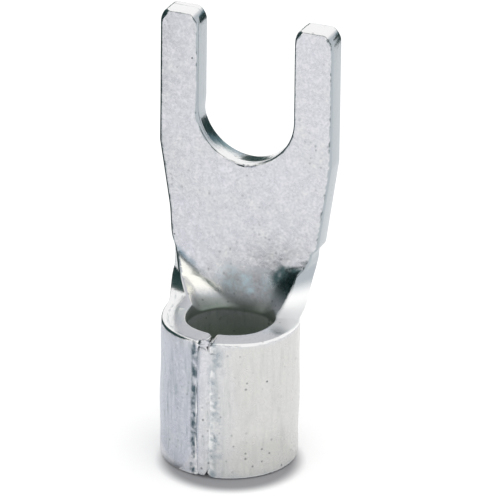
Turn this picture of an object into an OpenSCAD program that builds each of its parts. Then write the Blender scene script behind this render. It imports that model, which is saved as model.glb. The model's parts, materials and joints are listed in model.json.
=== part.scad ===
// Bare fork terminal for a 4 to 6 mm2 wire and an M4 screw.
// One stamped sheet: a flat fork, a scooped neck, and a barrel rolled shut and brazed.
// Frame in mm: origin at the middle of the wire entry, Z up the barrel to the fork tips,
// X across the fork, seam on the -Y side, tongue on the +Y side.

/* [Sheet and barrel] */
// thickness of the sheet, the same all over
sheet_t = 1.0; // [0.8:0.05:1.2]
// outside diameter of the rolled barrel
barrel_d = 5.6; // [5:0.1:6.4]
// length of the closed barrel
barrel_l = 6.0; // [4.5:0.1:9]
// bevel at the wire entry, inside
entry_c = 0.25; // [0.1:0.05:0.35]
// bevel on the other barrel edges
edge_c = 0.12; // [0.05:0.01:0.2]

/* [Seam] */
// width of the brazed bead
bead_w = 0.44; // [0.3:0.02:0.6]
// how far the bead stands out of the barrel
bead_h = 0.07; // [0.04:0.01:0.12]
// depth of the groove on each side of the bead
groove_d = 0.07; // [0.03:0.01:0.12]
// depth of the notch where the seam meets each end
notch_d = 0.16; // [0.08:0.02:0.3]

/* [Neck] */
// height of the neck between barrel and flat tongue
neck_l = 1.8; // [1.6:0.1:3]
// width of the tongue where it starts
neck_w = 6.0; // [5:0.1:6.4]
// how far round the barrel the neck reaches, each way from the back line
neck_wrap = 95; // [80:1:110]
// how far the back of the tongue stands out behind the back of the barrel
tongue_back = 0.15; // [0:0.05:0.4]
// how far the neck was trimmed to the left of the fork's middle
neck_off = 0.15; // [0:0.01:0.2]
// radius of the fold from flat to curled, low down in the neck
fold_r = 0.55; // [0.2:0.05:0.8]

/* [Fork] */
// width over both prongs
fork_w = 7.4; // [6.8:0.1:8.4]
// width of the slot
slot_w = 4.1; // [3.6:0.1:4.4]
// middle of the screw above the wire entry
screw_z = 13.95; // [13.3:0.05:16]
// reach of the prongs past the middle of the screw
prong_l = 4.05; // [3:0.05:6]
// height of the taper from the neck to the full width
taper_l = 4.45; // [2.5:0.05:5]
// corner radius of the prong tips
tip_r = 0.45; // [0.2:0.05:0.6]
// how far the fork stands to the left of the barrel's middle
fork_off = 0.21; // [0:0.01:0.3]

/* [Hidden] */
$fn = 96;
outer_r = barrel_d / 2;
bore_r = outer_r - sheet_t;
mid_r = outer_r - sheet_t / 2;
back_y = outer_r + tongue_back;
neck_z = barrel_l + neck_l;
tip_z = screw_z + prong_l;
// how fast the flat middle opens and the curl dies out up the neck
flat_power = 2;
curl_power = 0.85;
// the fold is sharper at the top of the neck, and the wall leans back within this share of its height
fold_top_r = 0.12;
lean_share = 0.7;
// the step that the trimming left in the right edge, and where the left edge runs back into line
step_z = neck_z + 0.45;
step_l = 0.35;
step_out = 0.07;
left_z = neck_z + 0.4 * taper_l;
// the neck's ends run into barrel and tongue, this far in from their faces
seat = 0.02;
seat_l = 0.4;
neck_rows = 18;
neck_columns = 36;

// Barrel: a turned section with bevelled edges, grooves and notches at the seam, and the bead.
module barrel() {
    bead_r = bead_w * 0.6;
    difference() {
        rotate_extrude()
            polygon([
                [bore_r + entry_c, 0],
                [outer_r - edge_c, 0],
                [outer_r, edge_c],
                [outer_r, barrel_l - edge_c],
                [outer_r - edge_c, barrel_l],
                [bore_r + edge_c, barrel_l],
                [bore_r, barrel_l - edge_c],
                [bore_r, entry_c],
            ]);
        for (side = [-1, 1])
            translate([side * bead_w * 0.68, -outer_r, -1])
                cylinder(r = groove_d, h = barrel_l + 2, $fn = 24);
        for (end_z = [0, barrel_l])
            translate([0, -mid_r, end_z])
                rotate([0, 45, 0])
                    cube([notch_d * sqrt(2), 2 * sheet_t, notch_d * sqrt(2)], center = true);
    }
    translate([0, -outer_r - bead_h + bead_r, notch_d / 2])
        cylinder(r = bead_r, h = barrel_l - notch_d);
}

// Neck: each level is a flat middle with both sides curled forward at the barrel's radius.
function flat_half(c) = neck_w / 2 * pow(c, flat_power);
function curl(c) = neck_wrap * pow(1 - c, curl_power);
function ease(c) = let (k = min(1, max(0, c))) k * k * (3 - 2 * k);
// 0 on the flat side of a fold of radius r and d past it, with a round change between them
function fold(d, r) = d > 30 * r ? d : r * ln(1 + exp(d / r));

// Point of the sheet: u across from -1 to 1, c up the neck from 0 to 1, n out from its middle.
function sheet_point(u, c, n, z) =
    let (
        f = flat_half(c),
        r = fold_r + (fold_top_r - fold_r) * c,
        s = u * (f + mid_r * curl(c) * PI / 180) - abs(u) * neck_off * ease(2 * c),
        curled = fold(s - f, r) - fold(-s - f, r),
        turn = curled / mid_r * 180 / PI
    )
    [
        s - curled + (mid_r + n) * sin(turn) - fork_off * ease(c),
        tongue_back * ease(c / lean_share) + (mid_r + n) * cos(turn),
        z,
    ];

// One closed loop round the sheet: the outer face from left to right, the inner face back.
function neck_loop(c, z, inset) =
    let (
        half = sheet_t / 2 - inset,
        reach = 1 - inset / 3
    )
    concat(
        [for (k = [0 : neck_columns]) sheet_point(reach * (2 * k / neck_columns - 1), c, half, z)],
        [for (k = [0 : neck_columns]) sheet_point(reach * (1 - 2 * k / neck_columns), c, -half, z)]
    );

module neck() {
    loops = concat(
        [neck_loop(0, barrel_l - seat_l, seat), neck_loop(0, barrel_l, seat)],
        [for (i = [1 : neck_rows - 1]) neck_loop(i / neck_rows, barrel_l + neck_l * i / neck_rows, 0)],
        [neck_loop(1, neck_z, seat), neck_loop(1, neck_z + seat_l, seat)]
    );
    size = 2 * (neck_columns + 1);
    last = (len(loops) - 1) * size;
    walls = [
        for (i = [0 : len(loops) - 2], k = [0 : size - 1])
            let (a = i * size, b = a + size, next = (k + 1) % size)
            each [[a + k, b + next, b + k], [a + k, a + next, b + next]]
    ];
    caps = [
        for (k = [0 : neck_columns - 1])
            let (far = size - 1 - k)
            each [
                [far, far - 1, k + 1, k],
                [last + k, last + k + 1, last + far - 1, last + far],
            ]
    ];
    polyhedron([for (loop = loops) each loop], concat(walls, caps));
}

// Tongue: the tapered plate with a round-bottomed slot and rounded prong tips.
module tip_corner(x, way) {
    translate([x, tip_z])
        difference() {
            translate([way > 0 ? -tip_r : -1, -tip_r])
                square([tip_r + 1, tip_r + 1]);
            translate([-way * tip_r, -tip_r])
                circle(r = tip_r, $fn = 48);
        }
}

function taper_half(z) = (neck_w + (fork_w - neck_w) * (z - neck_z) / taper_l) / 2;

module fork_outline() {
    difference() {
        polygon([
            [-taper_half(neck_z) - neck_off, neck_z],
            [taper_half(neck_z) - neck_off, neck_z],
            [taper_half(step_z) - neck_off, step_z],
            [taper_half(step_z + step_l) + step_out, step_z + step_l],
            [fork_w / 2, neck_z + taper_l],
            [fork_w / 2, tip_z],
            [-fork_w / 2, tip_z],
            [-fork_w / 2, neck_z + taper_l],
            [-taper_half(left_z), left_z],
        ]);
        translate([0, screw_z])
            circle(d = slot_w);
        translate([-slot_w / 2, screw_z])
            square([slot_w, prong_l + 1]);
        for (side = [-1, 1]) {
            tip_corner(side * fork_w / 2, side);
            tip_corner(side * slot_w / 2, -side);
        }
    }
}

module tongue() {
    translate([-fork_off, back_y, 0])
        rotate([90, 0, 0])
            linear_extrude(sheet_t)
                fork_outline();
}

module fork_terminal() {
    color([0.85, 0.85, 0.87])
        union() {
            barrel();
            neck();
            tongue();
        }
}

fork_terminal();
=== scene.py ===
import json
import math

import bmesh
import bpy
import numpy as np
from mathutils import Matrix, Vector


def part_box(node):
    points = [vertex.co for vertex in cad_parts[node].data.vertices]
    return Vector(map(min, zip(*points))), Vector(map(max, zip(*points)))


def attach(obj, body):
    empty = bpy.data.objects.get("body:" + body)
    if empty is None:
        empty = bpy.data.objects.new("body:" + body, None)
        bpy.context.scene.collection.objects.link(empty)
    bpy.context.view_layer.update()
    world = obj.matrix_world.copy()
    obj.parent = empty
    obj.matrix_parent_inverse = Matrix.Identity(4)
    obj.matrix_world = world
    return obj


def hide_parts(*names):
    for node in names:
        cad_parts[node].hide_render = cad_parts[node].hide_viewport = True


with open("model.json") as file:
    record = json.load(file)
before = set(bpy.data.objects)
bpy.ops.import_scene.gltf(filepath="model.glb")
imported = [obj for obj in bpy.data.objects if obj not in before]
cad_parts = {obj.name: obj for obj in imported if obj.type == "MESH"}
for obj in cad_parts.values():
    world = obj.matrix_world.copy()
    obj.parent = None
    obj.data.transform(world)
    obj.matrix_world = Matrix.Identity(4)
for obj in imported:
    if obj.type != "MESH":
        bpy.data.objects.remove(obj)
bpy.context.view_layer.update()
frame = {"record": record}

# Sheet of the fork terminal
# One piece of copper sheet, stamped to a flat blank with a forked end, then rolled into a barrel
# at the other end. Here too the blank is laid out flat, edge by edge, and then rolled up.
MM = 0.001
mounts = {mount["name"]: mount for mount in frame["record"]["mounts"]}
lowest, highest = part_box("fork_terminal")

front_y = mounts["contact_front"]["pos_m"][1] / MM
back_y = mounts["contact_back"]["pos_m"][1] / MM
bore_r = mounts["wire_barrel"]["dims"]["r_mm"]
barrel_l = mounts["wire_barrel"]["dims"]["length_mm"]
slot_r = mounts["screw_slot"]["dims"]["r_mm"]
screw_z = mounts["screw_slot"]["pos_m"][2] / MM
fork_shift = mounts["screw_slot"]["pos_m"][0] / MM
fork_half = (highest[0] - lowest[0]) / 2 / MM
tip_z = highest[2] / MM

sheet_t = back_y - front_y
half_t = sheet_t / 2
mid_r = bore_r + half_t
outer_r = bore_r + sheet_t
tongue_back = back_y - outer_r

# the neck rises from the barrel to the flat tongue, which then widens to the prongs
neck_l = 1.8
neck_half = 3.0
taper_l = 4.45
neck_z = barrel_l + neck_l
taper_z = neck_z + taper_l
root_z = screw_z - slot_r
# the prongs end in round corners, a little higher than wide
tip_wide = 0.40
tip_high = 0.50

# the neck was trimmed a little to the left, which leaves a small step in the right edge
neck_off = 0.15
step_z = neck_z + 0.45
step_l = 0.35
step_out = 0.07
left_z = neck_z + 0.4 * taper_l

# the back wall leans out to the tongue, and its front swells a little at the barrel's rim
lean_from = barrel_l - 0.5
lean_l = 3.2
lean_power = 2.5
swell_d = 0.16
swell_z = barrel_l
swell_l = 1.0
swell_w = 1.7
# the neck was cut nearly straight, its right side running in lower down, with a small fillet at the
# rim on each side, given by how far it runs out and how high it reaches
right_run_in = 0.36
right_fillet = (0.85, 0.25)
left_fillet = (0.55, 0.08)

# the two ends of the strip meet at the seam with this gap, and with worn-off corners
seam_gap = 0.08
corner_r = 0.30
seam_s = math.pi * mid_r - seam_gap / 2


def ease(c):
    """A smooth rise from 0 to 1 as c goes from 0 to 1."""
    c = np.clip(c, 0, 1)
    return c * c * (3 - 2 * c)


def rising(value, start, over):
    """0 up to start, then a smooth rise to 1 over the length that follows."""
    return ease((value - start) / over)


def falling(value, end, over):
    """1 at first, then a smooth fall to 0 over the length that leads to end."""
    return ease((end - value) / over)


# the back wall starts to open this far down inside the barrel, less so towards the limits on its left
# and right and at its top, each with the length over which it dies out; the folds start softly
scoop_d = 0.45
scoop_left = -3.4
scoop_left_l = 1.0
scoop_right = 2.1
scoop_right_l = 1.2
scoop_top = barrel_l + 0.9
scoop_top_l = 1.2
soft_start = 0.4
# the left side turns forward at a line that curves out to a knee, across and up, and then runs
# straight up and out, and its bend tightens to a crease
left_knee = (1.75, 0.65)
left_slope = 1.27
left_power = 0.7
crease_r = 0.8
crease_from = 0.6
crease_over = 1.25
# the right side opens in a curve, and fast near the top, where it leaves a shallow pocket
right_wide = 1.3
right_power = 0.55
right_top = 1.9
right_slope = 4
right_open = 0.6
pocket_r = 12
pocket_from = 1.4
pocket_over = 0.7
# how soft the folds are at the rim, and on each side where the neck meets the tongue
soft_r = 0.45
soft_left_r = 0.30
soft_right_r = 0.14


def soft_rise(h):
    """Height above the barrel with a soft start."""
    return np.sqrt(h * h + soft_start ** 2) - soft_start


def left_fold(h):
    """How far left of the middle line the sheet starts to turn forward, h above the barrel."""
    knee_s, knee_h = left_knee
    curved = knee_s * (soft_rise(h) / soft_rise(knee_h)) ** left_power
    return np.where(h < knee_h, curved, knee_s + left_slope * (h - knee_h))


def left_bend(h):
    """Radius that the left side is bent to: the barrel's own low down, a tighter crease at the top."""
    return mid_r - (mid_r - crease_r) * rising(h, crease_from, crease_over)


def right_fold(h):
    """How far right of the middle line the sheet starts to turn forward, h above the barrel."""
    return right_wide * soft_rise(h) ** right_power + right_slope * np.maximum(h - right_top, 0)


def right_bend(h):
    """Radius that the right side is bent to: it opens fast near the top, in a shallow pocket."""
    return mid_r + right_open * h + pocket_r * rising(h, pocket_from, pocket_over)


def straight(start, end, count):
    """Evenly spaced points from start towards end, with the end left to the next stretch."""
    return np.linspace(start, end, count, endpoint=False)


def arc(centre, wide, high, start, end, count):
    """Points round an ellipse from one angle towards another in degrees, with the last left out."""
    turn = np.radians(np.linspace(start, end, count, endpoint=False))
    return np.column_stack([centre[0] + wide * np.cos(turn), centre[1] + high * np.sin(turn)])


ARC_STEPS = 10
RISE_STEPS = 40
RIM_STEPS = 30
NECK_STEPS = 44
TAPER_STEPS = 44
ROOT_STEPS = 26
SIDE_STEPS = 18
ACROSS = 44
PROFILE_STEPS = 7
# the neck's points lie closer together near the rim, by this power
NECK_CROWD = 1.5

neck_rise = neck_l * np.linspace(0, 1, NECK_STEPS, endpoint=False) ** NECK_CROWD
right_neck = neck_half - neck_off - right_run_in * (neck_l - neck_rise)
right_neck = right_neck + right_fillet[0] * np.exp(-neck_rise / right_fillet[1])
left_neck = neck_half + neck_off + left_fillet[0] * np.exp(-neck_rise / left_fillet[1])


def outer_side(neck, neck_out, joins_z, step):
    """Outer edge of one half of the blank, from the wire entry to the prong's tip: seam edge, rim,
    neck curve, taper and prong side. The neck stands out by neck_out as far as joins_z, and the
    taper above it starts with a step out."""
    z = np.linspace(neck_z, taper_z, TAPER_STEPS, endpoint=False)
    taper = neck_half + (fork_half - neck_half) * (z - neck_z) / taper_l
    joined = rising(z, joins_z[0], joins_z[1] - joins_z[0])
    side = taper + neck_out * (1 - joined) + step * joined * (taper_z - z) / taper_l
    inner_s = seam_s - corner_r
    shoulder_z = tip_z - tip_high
    return np.vstack([
        arc((inner_s, corner_r), corner_r, corner_r, -90, 0, ARC_STEPS),
        straight((seam_s, corner_r), (seam_s, barrel_l - corner_r), RISE_STEPS),
        arc((inner_s, barrel_l - corner_r), corner_r, corner_r, 0, 90, ARC_STEPS),
        straight((inner_s, barrel_l), (neck[0], barrel_l), RIM_STEPS),
        np.column_stack([neck, barrel_l + neck_rise]),
        np.column_stack([side, z]),
        straight((fork_half, taper_z), (fork_half, shoulder_z), ROOT_STEPS + SIDE_STEPS),
        arc((fork_half - tip_wide, shoulder_z), tip_wide, tip_high, 0, 90, ARC_STEPS),
        [(fork_half - tip_wide, tip_z)],
    ])


slot_side = np.vstack([
    arc((0, screw_z), slot_r, slot_r, -90, 0, ROOT_STEPS),
    straight((slot_r, screw_z), (slot_r, tip_z - tip_high), SIDE_STEPS),
    arc((slot_r + tip_wide, tip_z - tip_high), tip_wide, tip_high, 180, 90, ARC_STEPS),
    [(slot_r + tip_wide, tip_z)],
])
across = np.linspace(0, 1, ACROSS)[:, None]


def half_outline(outer):
    """Outline of one half, from the middle of the wire entry round to the bottom of the slot."""
    entry = across * outer[0]
    tip = outer[-1] + across * (slot_side[-1] - outer[-1])
    return np.vstack([entry[:-1], outer, tip[1:-1], slot_side[::-1]])


right_outer = outer_side(right_neck, -neck_off, (step_z, step_z + step_l), step_out)
left_outer = outer_side(left_neck, neck_off, (neck_z, left_z), 0.0)
right_half = half_outline(right_outer)
left_half = half_outline(left_outer)
half_count = len(right_half)
outline = np.vstack([right_half, (left_half * [-1, 1])[-2:0:-1]])
right_order = np.arange(half_count)
left_order = np.concatenate([[0], np.arange(len(outline) - 1, half_count - 1, -1), [half_count - 1]])

along = np.roll(outline, -1, 0) - np.roll(outline, 1, 0)
along /= np.linalg.norm(along, axis=1, keepdims=True)
outward = np.column_stack([along[:, 1], -along[:, 0]])

# shearing rolls the front edges over, more in the slot's bottom and left side, where the cut also
# breaks out wider behind; the barrel's ends, the seam's edges and the tips are rounded further
edge_r = 0.09
slot_edge_r = 0.16
slot_break = 0.10
tip_edge_r = 0.20
rim_edge_r = 0.13
seam_edge_r = 0.20
entry_front_r = 0.25
entry_back_r = 0.10
# how far the tips' rounding runs on past their corners, across and down, as shares of the corner
tip_reach = 1.5
tip_early = 0.3
slack = 0.01
width = np.abs(outline[:, 0])
height = outline[:, 1]
in_slot = (width < slot_r + slack) * (height > root_z - edge_r)
in_slot = in_slot * falling(height, end=screw_z + 0.2, over=0.8)
in_slot = in_slot * falling(outline[:, 0], end=1.5, over=1.4)
at_seam = rising(width, start=seam_s - corner_r, over=corner_r)
at_entry = (1 - at_seam) * (height < corner_r)
at_rim = rising(height, start=barrel_l - 0.1, over=0.1) * falling(height, end=neck_z + 0.3, over=0.6)
at_rim = (1 - at_seam) * at_rim
at_corner = np.maximum(width - fork_half + tip_wide, slot_r + tip_wide - width) / tip_wide
at_end = (height - tip_z + tip_high) / tip_high
at_tip = ease(tip_reach * at_corner) * ease(at_end + tip_early) * (width > slot_r - slack)
front_r = edge_r + (slot_edge_r - edge_r) * in_slot + (entry_front_r - edge_r) * at_entry
front_r = front_r + (tip_edge_r - edge_r) * at_tip + (rim_edge_r - edge_r) * at_rim
back_r = edge_r + (seam_edge_r - edge_r) * at_seam + (entry_back_r - edge_r) * at_entry
back_r = back_r + (tip_edge_r - edge_r) * at_tip
break_out = slot_break * in_slot

# shallow dents from rolling, deeper on the barrel: waves by their rates across and up, and their start
dent_flat = 0.004
dent_barrel = 0.010
dent_waves = ((1.7, 0.9, 0.0), (2.9, -0.4, 1.0), (0.8, 2.1, 0.0))


def rolled(blank):
    """Rolls the blank up. A point s across, z up and n out from the middle of the sheet stays flat
    near the middle line and turns forward past a soft fold, round the bend's radius: on the barrel
    that is its own, all round. The back wall leans out to the tongue, its front swells a little, and
    the sum of a few waves dents the sheet, but for the wire entry."""
    s, z, n = blank[..., 0], blank[..., 1], blank[..., 2]
    c = np.clip((z - barrel_l) / neck_l, 0, 1)
    opened_left = rising(s, scoop_left, scoop_left_l)
    opened_right = falling(s, scoop_right, scoop_right_l)
    opened = np.where(s < 0, opened_left, opened_right)
    early = scoop_d * opened * falling(z, scoop_top, scoop_top_l)
    h = np.maximum(z - barrel_l + early, 0)
    start = np.where(s < 0, left_fold(h), right_fold(h))
    bend = np.where(s < 0, left_bend(h), right_bend(h))
    soft = soft_r + (np.where(s < 0, soft_left_r, soft_right_r) - soft_r) * c
    past_right = np.logaddexp(0, (s - start) / soft)
    past_left = np.logaddexp(0, (-s - start) / soft)
    turn = (past_right - past_left) * soft / bend
    dent = dent_flat + dent_barrel * (1 - rising(z, barrel_l, neck_l))
    uneven = dent * sum(np.sin(by_s * s + by_z * z + begin) for by_s, by_z, begin in dent_waves)
    out = bend + n + uneven * np.sin(np.clip(z, 0, 1) * math.pi / 2)
    leaning = 1 - (1 - np.clip((z - lean_from) / lean_l, 0, 1)) ** lean_power
    lean = tongue_back * leaning * (1 + np.cos(turn)) / 2
    swell = swell_d * np.exp(-((z - swell_z) / swell_l) ** 2 - (s / swell_w) ** 2)
    swell = swell * (half_t - n) / sheet_t
    x = s - bend * turn + out * np.sin(turn) + fork_shift * ease(c)
    y = mid_r - bend + out * np.cos(turn) + lean - swell
    return np.stack([x, y, z], axis=-1)


middle_count = len(right_outer) - len(slot_side)
barrel_count = middle_count - NECK_STEPS - TAPER_STEPS
scoop_z = barrel_l - 0.3
middle_share = np.concatenate([
    np.linspace(0, scoop_z, barrel_count, endpoint=False),
    np.linspace(scoop_z, neck_z, NECK_STEPS, endpoint=False),
    np.linspace(neck_z, root_z, TAPER_STEPS, endpoint=False),
]) / root_z


def face_grid(inset_by, n, order):
    """One face of one half of the blank: straight lines from the middle line and the slot's edge to
    the outer edge, all drawn in by the edge's rounding, at offset n from the middle of the sheet."""
    inset = (outline - outward * inset_by[:, None])[order]
    outer = inset[ACROSS - 1:ACROSS - 1 + len(right_outer)]
    slot = inset[::-1][:len(slot_side)]
    middle = inset[0] + middle_share[:, None] * (slot[0] - inset[0])
    started = np.vstack([middle, slot])
    flat = started[:, None] + across[None] * (outer - started)[:, None]
    return np.concatenate([flat, np.full(flat.shape[:2] + (1,), n)], axis=-1)


def edge_strip():
    """The cut edge all round the blank: a profile carried along the outline, a quarter circle from
    the front face, a straight cut that breaks out backwards, and a quarter circle to the back."""
    turn = np.radians(np.linspace(0, 90, PROFILE_STEPS))
    drop = np.column_stack([
        front_r[:, None] * (1 - np.sin(turn)),
        break_out[:, None] + back_r[:, None] * (1 - np.sin(turn[::-1])),
    ])
    offset = np.column_stack([
        -half_t + front_r[:, None] * (1 - np.cos(turn)),
        half_t - back_r[:, None] * (1 - np.cos(turn[::-1])),
    ])
    flat = outline[:, None] - outward[:, None] * drop[..., None]
    return np.concatenate([flat, offset[..., None]], axis=-1)


# Seam
# Where the strip's two ends meet, the joint is closed with braze metal, drawn into the gap as a
# low bead that stands a little proud, and ends in a small blob at the rim.
bead_h = 0.10
bead_left = -0.36
bead_right = 0.50
bead_deep = 0.4
bead_sink = 0.02
bead_end = 0.03
bead_waver = 0.08
bead_wander = 0.012
# its waver is a sum of waves up the barrel, by their share, rate and start
bead_waves = ((1.0, 2.3, 0.6), (0.6, 5.1, 0.0), (0.4, 11.3, 0.0))
# where the ridge rises on its left and falls on its right, and how softly
ridge_left = -0.27
ridge_left_soft = 0.025
ridge_right = 0.22
ridge_right_soft = 0.07
# the ridge runs level nearly to its ends, and its right side stops short there by a notch
end_power = 30
notch_l = 0.28
notch_from = 0.14
notch_soft = 0.03
notch_power = 8
blob_at = (-0.08, -outer_r + 0.14, barrel_l - 0.10)
blob_r = (0.25, 0.22, 0.17)
BEAD_ROWS = 120
BEAD_COLUMNS = 61
BLOB_ROWS = 15
BLOB_COLUMNS = 25


def seam_bead():
    """A low ridge carried up the barrel: steep on its left, round on top and sloping off gently to
    its right, with a slow waver in place and height. Its right side stops short at both ends."""
    share = np.linspace(0, 1, BEAD_ROWS)[:, None]
    turn = np.linspace(0, 2 * math.pi, BEAD_COLUMNS)[None, :]
    up = bead_end + (barrel_l - 2 * bead_end) * share
    waver = sum(size * np.sin(up * rate + begin) for size, rate, begin in bead_waves)
    aside = (bead_right + bead_left + (bead_right - bead_left) * np.cos(turn)) / 2
    left_slope_by = 1 + np.exp((ridge_left - aside) / ridge_left_soft)
    right_slope_by = 1 + np.exp((aside - ridge_right) / ridge_right_soft)
    top = bead_h * (1 + bead_waver * waver) / left_slope_by / right_slope_by - bead_sink
    under = -bead_deep * np.abs(np.sin(turn)) ** 0.5 / 2
    fade = (1 - np.abs(2 * share - 1) ** end_power) ** 0.5
    radius = outer_r - bead_deep / 2 + np.where(np.sin(turn) > 0, top + bead_deep / 2, under) * fade
    round_by = (aside * fade + bead_wander * waver) / outer_r
    short = notch_l / (1 + np.exp((notch_from - aside) / notch_soft))
    z = up + short * ((1 - share) ** notch_power - share ** notch_power)
    return np.stack([radius * np.sin(round_by), -radius * np.cos(round_by), z], axis=-1)


def blob():
    """A squashed ball: circles of latitude whose radius and height follow a half circle."""
    tilt = np.linspace(-math.pi / 2, math.pi / 2, BLOB_ROWS)[:, None]
    turn = np.linspace(0, 2 * math.pi, BLOB_COLUMNS)[None, :]
    ball = np.stack([np.cos(tilt) * np.cos(turn), np.cos(tilt) * np.sin(turn), np.sin(tilt) + 0 * turn], -1)
    return np.array(blob_at) + np.array(blob_r) * ball


def grid_faces(rows, columns, start, closed=False):
    """Corner numbers of the quads of a grid of points, stored row by row from start on."""
    row = np.arange(rows if closed else rows - 1)[:, None]
    column = np.arange(columns - 1)[None, :]
    here = start + row * columns + column
    after = start + (row + 1) % rows * columns + column
    return np.stack([here, here + 1, after + 1, after], axis=-1).reshape(-1, 4)


# Terminal
# The rolled sheet and the braze in its seam are one piece of metal, plated together. Its points carry
# marks of how the sheet was cut, folded and worn, and of where light and shade are painted, which the
# finish follows.
strip = edge_strip()
sheets = [
    face_grid(radius, n, order)
    for order in (right_order, left_order)
    for radius, n in ((front_r, -half_t), (back_r + break_out, half_t))
]
braze = [seam_bead(), blob()]
grids = [rolled(strip)] + [rolled(sheet) for sheet in sheets] + braze
starts = np.cumsum([0] + [grid.shape[0] * grid.shape[1] for grid in grids])
points = np.vstack([grid.reshape(-1, 3) for grid in grids]) * MM
faces = np.vstack([
    grid_faces(grid.shape[0], grid.shape[1], start, closed=start == 0)
    for grid, start in zip(grids, starts)
])


def padded(values):
    """Values on the points of the cut edge, or of the whole sheet, with 0 on all that come after."""
    return np.concatenate([np.ravel(values), np.zeros(len(points) - np.size(values))])


# each mark by where it lies: side and up are a point's place on the flat sheet, up from the rim
blank = np.vstack([strip.reshape(-1, 3)] + [sheet.reshape(-1, 3) for sheet in sheets])
side = blank[:, 0]
up = blank[:, 1] - barrel_l
cut = np.arange(len(blank)) < strip.size // 3
inner = (blank[:, 2] < 0) * ~cut

# distance from the seam on the outside; the inside counts as far away
FAR = 9.0
seam_away = np.where(blank[:, 2] > 0, np.sign(side) * (math.pi * mid_r - np.abs(side)), FAR)
braze_away = np.concatenate([grid[..., 0].ravel() for grid in braze])

# cut edges: the line along their front, painted with dark dashes of reflection; the upright cuts, painted
# darker and bluer as shade; and the right of the rim, painted near white as a highlight and made dull
FRONT_COLUMNS = 2
column = np.arange(strip.shape[1]) + 0 * strip[..., 0]
side_cut_painted_shade = rising(np.abs(outward[:, 0]), start=0.5, over=0.3)
side_cut_painted_shade = side_cut_painted_shade * rising(height, start=barrel_l + 0.3, over=0.5)
rim_painted_highlight = cut * rising(side, start=1.0, over=0.8) * falling(side, end=4.6, over=1.0)
rim_painted_highlight = rim_painted_highlight * rising(up, start=-0.3, over=0.2) * falling(up, end=1.2, over=0.8)

# folds inside the neck: painted shade along the crease on the left, a painted highlight on the face below
# it, and painted shade in the pocket on the right
crease_shift = 0.1
crease_half = 0.25
crease_away = side + left_fold(np.maximum(up, 0)) + crease_shift
crease_painted_shade = inner * np.exp(-(crease_away / crease_half) ** 2)
crease_painted_shade = crease_painted_shade * rising(up, start=0.7, over=0.6) * falling(up, end=1.85, over=0.2)
below_crease_painted_highlight = inner * falling(side, end=-0.8, over=0.7) * rising(up, start=-0.1, over=0.4)
below_crease_painted_highlight = below_crease_painted_highlight * falling(crease_away, end=0, over=0.5)
pocket_edge = 0.90 + 0.4 * rising(up, start=1.1, over=0.5)
pocket = inner * rising(side, start=pocket_edge, over=0.5)
pocket = pocket * rising(up, start=0.3, over=0.7) * falling(up, end=1.75, over=0.18)

# the scoop: its middle, painted lighter and bluer as a reflection; the band where it fades into the bore,
# painted dark as shade; the bore, tinted green and painted darker downward as shade; and where it is dull
scoop_painted_reflection = inner * falling(np.abs(side - 0.1), end=1.6, over=0.9)
scoop_painted_reflection = scoop_painted_reflection * rising(up, start=0, over=0.4) * falling(up, end=1.5, over=0.7)
bore_edge_painted_shade = inner * falling(up, end=0.22, over=0.82) * rising(up, start=-0.62, over=0.12)
in_bore = inner * falling(up, end=0.3, over=2.5)
dull_top = 1.6 - 1.2 * rising(side, start=0.6, over=1.0)
dull = np.maximum(falling(up, end=0.8, over=1.0), falling(up, end=dull_top, over=1.2))
glossy_left = falling(side, end=-0.5, over=0.8) * rising(up, start=-0.2, over=0.3)

marks = {
    "sheared": padded(cut),
    "side_cut_painted_shade": padded(side_cut_painted_shade[:, None] + 0 * strip[..., 0]),
    "front_line": padded(column < FRONT_COLUMNS),
    "rim_painted_highlight": padded(rim_painted_highlight),
    "from_seam": np.concatenate([seam_away, braze_away]),
    "crease_painted_shade": padded(crease_painted_shade),
    "below_crease_painted_highlight": padded(below_crease_painted_highlight),
    "pocket": padded(pocket),
    "scoop_painted_reflection": padded(scoop_painted_reflection),
    "bore_edge_painted_shade": padded(bore_edge_painted_shade),
    "inside": padded(in_bore),
    "matte": padded(inner * dull * (1 - glossy_left) + rim_painted_highlight),
}

mesh = bpy.data.meshes.new("fork_terminal_sheet")
mesh.from_pydata(points, [], faces.tolist())
for name, values in marks.items():
    mesh.attributes.new(name, "FLOAT", "POINT").data.foreach_set("value", values.astype(np.float32))
weld_d = 1e-7
welded = bmesh.new()
welded.from_mesh(mesh)
bmesh.ops.remove_doubles(welded, verts=welded.verts, dist=weld_d)
bmesh.ops.recalc_face_normals(welded, faces=welded.faces)
welded.to_mesh(mesh)
welded.free()
mesh.shade_smooth()
terminal = bpy.data.objects.new("terminal", mesh)
bpy.context.collection.objects.link(terminal)
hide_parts("fork_terminal")
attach(terminal, "root")


# Tin plating
# Copper plated with matte tin: a pale grey metal with a soft gloss, finely mottled where the
# plating is uneven, with small dark pits, and with dark flux left along the seam. Shade, highlights and
# reflections are also painted into its colour, in the neck, the bore, at the foot and on the cut edges.
def linear(code):
    """An sRGB hex colour as linear red, green, blue and alpha."""
    part = np.array([int(code[i:i + 2], 16) for i in (1, 3, 5)]) / 255
    value = np.where(part <= 0.04045, part / 12.92, ((part + 0.055) / 1.055) ** 2.4)
    return (*value.tolist(), 1.0)


def add(tree, kind, inputs, **settings):
    """Adds a node: settings are its properties, inputs its sockets with a value or a link each."""
    made = tree.nodes.new(kind)
    for name, value in settings.items():
        setattr(made, name, value)
    for socket, value in inputs.items():
        if isinstance(value, bpy.types.NodeSocket):
            tree.links.new(value, made.inputs[socket])
        else:
            made.inputs[socket].default_value = value
    return made


tin = bpy.data.materials.new("matte_tin_plate")
tin.use_nodes = True
tree = tin.node_tree
shader = tree.nodes["Principled BSDF"]
shader.inputs["Metallic"].default_value = 1.0
place = add(tree, "ShaderNodeTexCoord", {}).outputs["Object"]
place_by = add(tree, "ShaderNodeSeparateXYZ", {"Vector": place}).outputs
marked = {
    name: add(tree, "ShaderNodeAttribute", {}, attribute_name=name).outputs["Fac"]
    for name in marks
}

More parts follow.
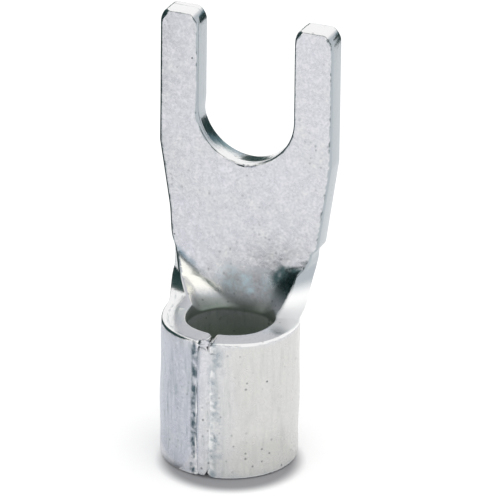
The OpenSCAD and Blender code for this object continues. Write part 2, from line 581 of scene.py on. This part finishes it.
# the plating's own pattern, by the real size of its spots; streaks run up the barrel, as it was drawn
grain_size = 0.11 * MM
mottle_size = 0.40 * MM
patch_size = 1.8 * MM
streak_size = 0.22 * MM
streak_stretch = (1, 1, 0.10)
streak_place = add(tree, "ShaderNodeMapping", {"Vector": place, "Scale": streak_stretch}).outputs["Vector"]
noise = {
    name: add(tree, "ShaderNodeTexNoise", {
        "Vector": vector, "Scale": 1 / size, "Detail": detail, "Roughness": 0.6}).outputs["Fac"]
    for name, vector, size, detail in (
        ("grain", place, grain_size, 2.0),
        ("mottle", place, mottle_size, 3.0),
        ("patch", place, patch_size, 2.0),
        ("streak", streak_place, streak_size, 2.0),
    )
}

# how a pattern or a place takes effect: where it starts and is full, and its least and most
ramps = {
    name: add(tree, "ShaderNodeMapRange", {
        "Value": value, "From Min": start, "From Max": full, "To Min": least, "To Max": most,
    }).outputs["Result"]
    for name, value, start, full, least, most in (
        ("patch", noise["patch"], 0.36, 0.66, 0.0, 1.0),
        ("mottle", noise["mottle"], 0.36, 0.66, 0.0, 1.0),
        ("grain", noise["grain"], 0.36, 0.66, 0.0, 1.0),
        ("drawn", noise["streak"], 0.48, 0.68, 0.0, 1.0),
        ("clustered", noise["patch"], 0.46, 0.60, 0.0, 0.65),
        ("broken", noise["mottle"], 0.40, 0.58, 0.0, 1.0),
        ("thin", noise["mottle"], 0.46, 0.62, 0.15, 1.0),
        ("dash_breakup", noise["mottle"], 0.53, 0.60, 0.0, 0.75),
        ("shade_breakup", noise["mottle"], 0.30, 0.52, 0.55, 0.95),
        ("gloss", noise["mottle"], 0.30, 0.70, 0.20, 0.30),
        ("on_barrel", place_by["Z"], barrel_l * MM, (barrel_l - 0.3) * MM, 0.0, 1.0),
        ("pit_depth", place_by["Z"], barrel_l * MM, (barrel_l - 0.3) * MM, 0.5, 1.0),
        ("low_down", place_by["Z"], 0.45 * MM, 0.10 * MM, 0.0, 0.25),
        ("to_right", place_by["X"], -0.3 * MM, 1.5 * MM, 0.0, 0.6),
        ("left_flux_in", marked["from_seam"], -0.54, -0.44, 0.0, 1.0),
        ("left_flux_out", marked["from_seam"], -0.28, -0.34, 0.0, 1.0),
        ("right_flux_in", marked["from_seam"], 0.12, 0.30, 0.0, 1.0),
        ("right_flux_out", marked["from_seam"], 0.70, 0.42, 0.0, 1.0),
    )
}

# pits: a few larger ones far apart, and fine ones in clusters, fainter off the barrel; a pit's
# radius is a share of its cell, and bare is the share of the cells without one
pits = []
for cell, radius, bare in ((0.80 * MM, 0.055, 0.80), (0.24 * MM, 0.20, 0.66)):
    cells = add(tree, "ShaderNodeTexVoronoi", {"Vector": place, "Scale": 1 / cell})
    chosen = add(tree, "ShaderNodeSeparateColor", {"Color": cells.outputs["Color"]}).outputs["Red"]
    near = add(tree, "ShaderNodeMapRange", {
        "Value": cells.outputs["Distance"],
        "From Min": radius * 1.4,
        "From Max": radius * 0.7,
    }).outputs["Result"]
    picked = add(tree, "ShaderNodeMath", {0: chosen, 1: bare}, operation="GREATER_THAN").outputs["Value"]
    pits.append(add(tree, "ShaderNodeMath", {0: near, 1: picked}, operation="MULTIPLY").outputs["Value"])
clusters = add(tree, "ShaderNodeMath", {
    0: ramps["clustered"], 1: ramps["pit_depth"]}, operation="MULTIPLY").outputs["Value"]

# flux left beside the bead: a dark broken line on its left, also painted shade in the groove there, and a
# fainter bluish band on its right
flux = {
    band: add(tree, "ShaderNodeMath", {
        0: ramps[band + "_flux_in"], 1: ramps[band + "_flux_out"]}, operation="MULTIPLY").outputs["Value"]
    for band in ("left", "right")
}

# stains and painted light and shade, each where its place and its pattern meet; the cut's front line is
# painted dark in dashes, as a dark reflection along its rounding
bore_share = 0.85
stains_and_painted_light = {
    name: add(tree, "ShaderNodeMath", {0: where, 1: pattern}, operation="MULTIPLY").outputs["Value"]
    for name, where, pattern in (
        ("streaks", ramps["on_barrel"], ramps["drawn"]),
        ("warmth", ramps["on_barrel"], ramps["to_right"]),
        ("foot", ramps["low_down"], ramps["mottle"]),
        ("scoop", marked["scoop_painted_reflection"], ramps["mottle"]),
        ("pocket", marked["pocket"], ramps["shade_breakup"]),
        ("crease", marked["crease_painted_shade"], ramps["shade_breakup"]),
        ("bore", marked["inside"], bore_share),
        ("painted_dark_dashes", marked["front_line"], ramps["dash_breakup"]),
        ("left_flux_and_shade", flux["left"], ramps["broken"]),
        ("right_flux", flux["right"], ramps["thin"]),
        ("fine_pits", clusters, pits[1]),
    )
}
pitted = add(tree, "ShaderNodeMath", {
    0: pits[0], 1: stains_and_painted_light["fine_pits"]}, operation="MAXIMUM").outputs["Value"]

colour = linear("#DAD9E0")
for share, code in (
    (ramps["patch"], "#D8D8D7"),
    (stains_and_painted_light["streaks"], "#8E999C"),
    (ramps["mottle"], "#D0D0D7"),
    (ramps["grain"], "#C3C5CA"),
    (stains_and_painted_light["warmth"], "#CFCEC7"),
    # a painted highlight below the crease, a painted bluish reflection in the scoop's middle, and painted
    # shade where the scoop fades into the bore
    (marked["below_crease_painted_highlight"], "#F6F5EE"),
    (stains_and_painted_light["scoop"], "#E2F2FA"),
    (marked["bore_edge_painted_shade"], "#7C857E"),
    (marked["sheared"], "#E9E9E9"),
    # painted shade on the upright cuts, a painted highlight on the right of the rim, and painted shade in
    # the pocket
    (marked["side_cut_painted_shade"], "#A8AFB4"),
    (marked["rim_painted_highlight"], "#FAFAFA"),
    (stains_and_painted_light["pocket"], "#3C5658"),
    # a green tint in the bore, also painted shade that deepens downward; painted shade along the crease;
    # teal stains at the foot, also a painted dark reflection along the bottom edge
    (stains_and_painted_light["bore"], "#B4C2B2"),
    (stains_and_painted_light["crease"], "#8498A4"),
    (stains_and_painted_light["foot"], "#8397A0"),
    (stains_and_painted_light["right_flux"], "#9DA7AD"),
    # dark flux on the bead's left, also painted shade in its groove; a painted dark reflection in dashes
    # along the cut's front line
    (stains_and_painted_light["left_flux_and_shade"], "#55646A"),
    (stains_and_painted_light["painted_dark_dashes"], "#5C686B"),
    (pitted, "#565E60"),
):
    colour = add(tree, "ShaderNodeMix", {
        "Factor": share, "A": colour, "B": linear(code)}, data_type="RGBA").outputs["Result"]
tree.links.new(colour, shader.inputs["Base Color"])

# gloss: the cut edges are smoother than the faces, and what is marked as matte is dull
edge_roughness = 0.18
matte_roughness = 0.60
edge_gloss = add(tree, "ShaderNodeMix", {
    "Factor": marked["sheared"], "A": ramps["gloss"], "B": edge_roughness}).outputs["Result"]
roughness = add(tree, "ShaderNodeMix", {
    "Factor": marked["matte"], "A": edge_gloss, "B": matte_roughness}).outputs["Result"]
tree.links.new(roughness, shader.inputs["Roughness"])

# relief: the mottle stands out more than the grain, and the pits lie below both
mottle_relief = 3.0
pit_relief = -2.0
relief_d = 0.003 * MM
plating = add(tree, "ShaderNodeMath", {
    0: noise["mottle"], 1: mottle_relief, 2: noise["grain"]}, operation="MULTIPLY_ADD").outputs["Value"]
relief = add(tree, "ShaderNodeMath", {
    0: pitted, 1: pit_relief, 2: plating}, operation="MULTIPLY_ADD").outputs["Value"]
bump = add(tree, "ShaderNodeBump", {"Height": relief, "Distance": relief_d, "Strength": 1.0})
tree.links.new(bump.outputs["Normal"], shader.inputs["Normal"])
mesh.materials.append(tin)

# Floor and light
# A wide sheet of white paper under an even white studio sky, with cards of coloured board set up
# round about and laid on the paper, which the metal mirrors.
floor_mesh = bpy.data.meshes.new("floor")
reach = 2.0
floor_mesh.from_pydata(
    [(-reach, -reach, 0), (reach, -reach, 0), (reach, reach, 0), (-reach, reach, 0)], [], [(0, 1, 2, 3)])
floor = bpy.data.objects.new("floor", floor_mesh)
bpy.context.collection.objects.link(floor)
paper = bpy.data.materials.new("white_paper")
paper.use_nodes = True
paper_shader = paper.node_tree.nodes["Principled BSDF"]
paper_shader.inputs["Roughness"].default_value = 1.0
paper_shader.inputs["Specular IOR Level"].default_value = 0.0
# a shadow is painted on the paper close round the foot, deepest where the barrel touches it, and the paper
# gives off a little light, so that it stays white further out
foot = (0.42 * MM, -0.90 * MM, 0.0)
shade_from = 2.4 * MM
shade_to = 3.2 * MM
paper_glow = 0.08
paper_tree = paper.node_tree
spot = add(paper_tree, "ShaderNodeTexCoord", {}).outputs["Object"]
away = add(paper_tree, "ShaderNodeVectorMath", {0: spot, 1: foot}, operation="DISTANCE").outputs["Value"]
clear = add(paper_tree, "ShaderNodeMapRange", {
    "Value": away, "From Min": shade_from, "From Max": shade_to,
}, interpolation_type="SMOOTHSTEP").outputs["Result"]
shade = add(paper_tree, "ShaderNodeMix", {
    "Factor": clear, "A": linear("#98989B"), "B": linear("#FDFDFD")}, data_type="RGBA").outputs["Result"]
paper_tree.links.new(shade, paper_shader.inputs["Base Color"])
paper_tree.links.new(shade, paper_shader.inputs["Emission Color"])
paper_shader.inputs["Emission Strength"].default_value = paper_glow
floor_mesh.materials.append(paper)

# only the metal's gloss sees the cards: a dark band low round the studio, one close on the left, a few
# behind for the slot's bottom and the tips, and mats on the floor round the foot; the grey mat on the left
# is a painted shadow of the terminal on the floor, and the white one in front keeps the painted shadow on
# the paper out of the foot's gloss
CARD_COLUMNS = 49
cards = {}
for name, code in (
    ("dark_card", "#304544"),
    ("teal_card", "#6F8C92"),
    ("slate_card", "#A3B3BC"),
    ("grey_card", "#EDF0F5"),
    ("white_card", "#F8F8F8"),
):
    cards[name] = bpy.data.materials.new(name)
    cards[name].use_nodes = True
    card_shader = cards[name].node_tree.nodes["Principled BSDF"]
    card_shader.inputs["Base Color"].default_value = linear(code)
    card_shader.inputs["Roughness"].default_value = 1.0
    card_shader.inputs["Specular IOR Level"].default_value = 0.0


def bent_card(name, near, far, start, end, low, high, finish):
    """A card bent round the upright axis: a straight line from one radius and height to another,
    carried round from one angle to the next, from +Y towards +X."""
    turn = np.radians(np.linspace(start, end, CARD_COLUMNS))[None, :]
    radius = np.array([near, far])[:, None]
    z = np.array([low, high])[:, None]
    wall = np.stack([radius * np.sin(turn), radius * np.cos(turn), z + 0 * turn], axis=-1) * MM
    card_mesh = bpy.data.meshes.new(name)
    card_mesh.from_pydata(wall.reshape(-1, 3), [], grid_faces(2, CARD_COLUMNS, 0).tolist())
    card_mesh.materials.append(cards[finish])
    card_object = bpy.data.objects.new(name, card_mesh)
    card_object.visible_camera = False
    card_object.visible_diffuse = False
    card_object.visible_shadow = False
    bpy.context.collection.objects.link(card_object)


# radii and heights are in millimetres, angles in degrees
for name, near, far, start, end, low, high, finish in (
    ("dark_ring", 150, 150, 150, 375, 0, 32, "dark_card"),
    ("left_card", 16, 16, 226, 305, 0, 25, "dark_card"),
    ("back_card", 26, 26, 3, 34, 8.6, 17.4, "dark_card"),
    ("back_teal", 26, 26, -3, 34, 17.4, 22.5, "teal_card"),
    ("back_slate", 26, 26, -13, -3, 15.5, 22.5, "slate_card"),
    ("tip_card", 10, 10, 8, 46, 17.4, 18.3, "dark_card"),
    ("root_card", 10, 10, -26, -13, 12.6, 16.2, "dark_card"),
    ("front_mat", 2.82, 6, 75, 205, 0.04, 0.04, "white_card"),
    ("behind_mat", 3.2, 14, 320, 354, 0.05, 0.05, "dark_card"),
    ("left_painted_shadow_mat", 3.2, 14, 205, 320, 0.05, 0.05, "grey_card"),
):
    bent_card(name, near, far, start, end, low, high, finish)

world = bpy.data.worlds.new("studio")
world.use_nodes = True
sky = world.node_tree.nodes["Background"]
sky.inputs["Color"].default_value = linear("#FFFFFF")
sky.inputs["Strength"].default_value = 1.1
bpy.context.scene.world = world

# Camera
# A long lens a little to the right of the seam, looking down on the standing terminal, and rolled
# by less than a degree.
azimuth = math.radians(21.3)
elevation = math.radians(24.65)
roll = math.radians(0.65)
distance = 0.3
frame_width = 0.020
look_at = np.array([0.763, 0.133, 8.966]) * MM

back = np.array([
    math.sin(azimuth) * math.cos(elevation),
    -math.cos(azimuth) * math.cos(elevation),
    math.sin(elevation),
])
level_right = np.array([math.cos(azimuth), math.sin(azimuth), 0.0])
level_up = np.cross(back, level_right)
view_right = level_right * math.cos(roll) + level_up * math.sin(roll)
view_up = np.cross(back, view_right)

lens = bpy.data.cameras.new("camera")
lens.sensor_width = 36
lens.lens = lens.sensor_width * distance / frame_width
lens.clip_start = 0.01
camera = bpy.data.objects.new("camera", lens)
placing = np.eye(4)
placing[:3, 0] = view_right
placing[:3, 1] = view_up
placing[:3, 2] = back
placing[:3, 3] = look_at + back * distance
camera.matrix_world = placing.T.tolist()
bpy.context.collection.objects.link(camera)
bpy.context.scene.camera = camera
bpy.context.scene.view_settings.view_transform = "Standard"
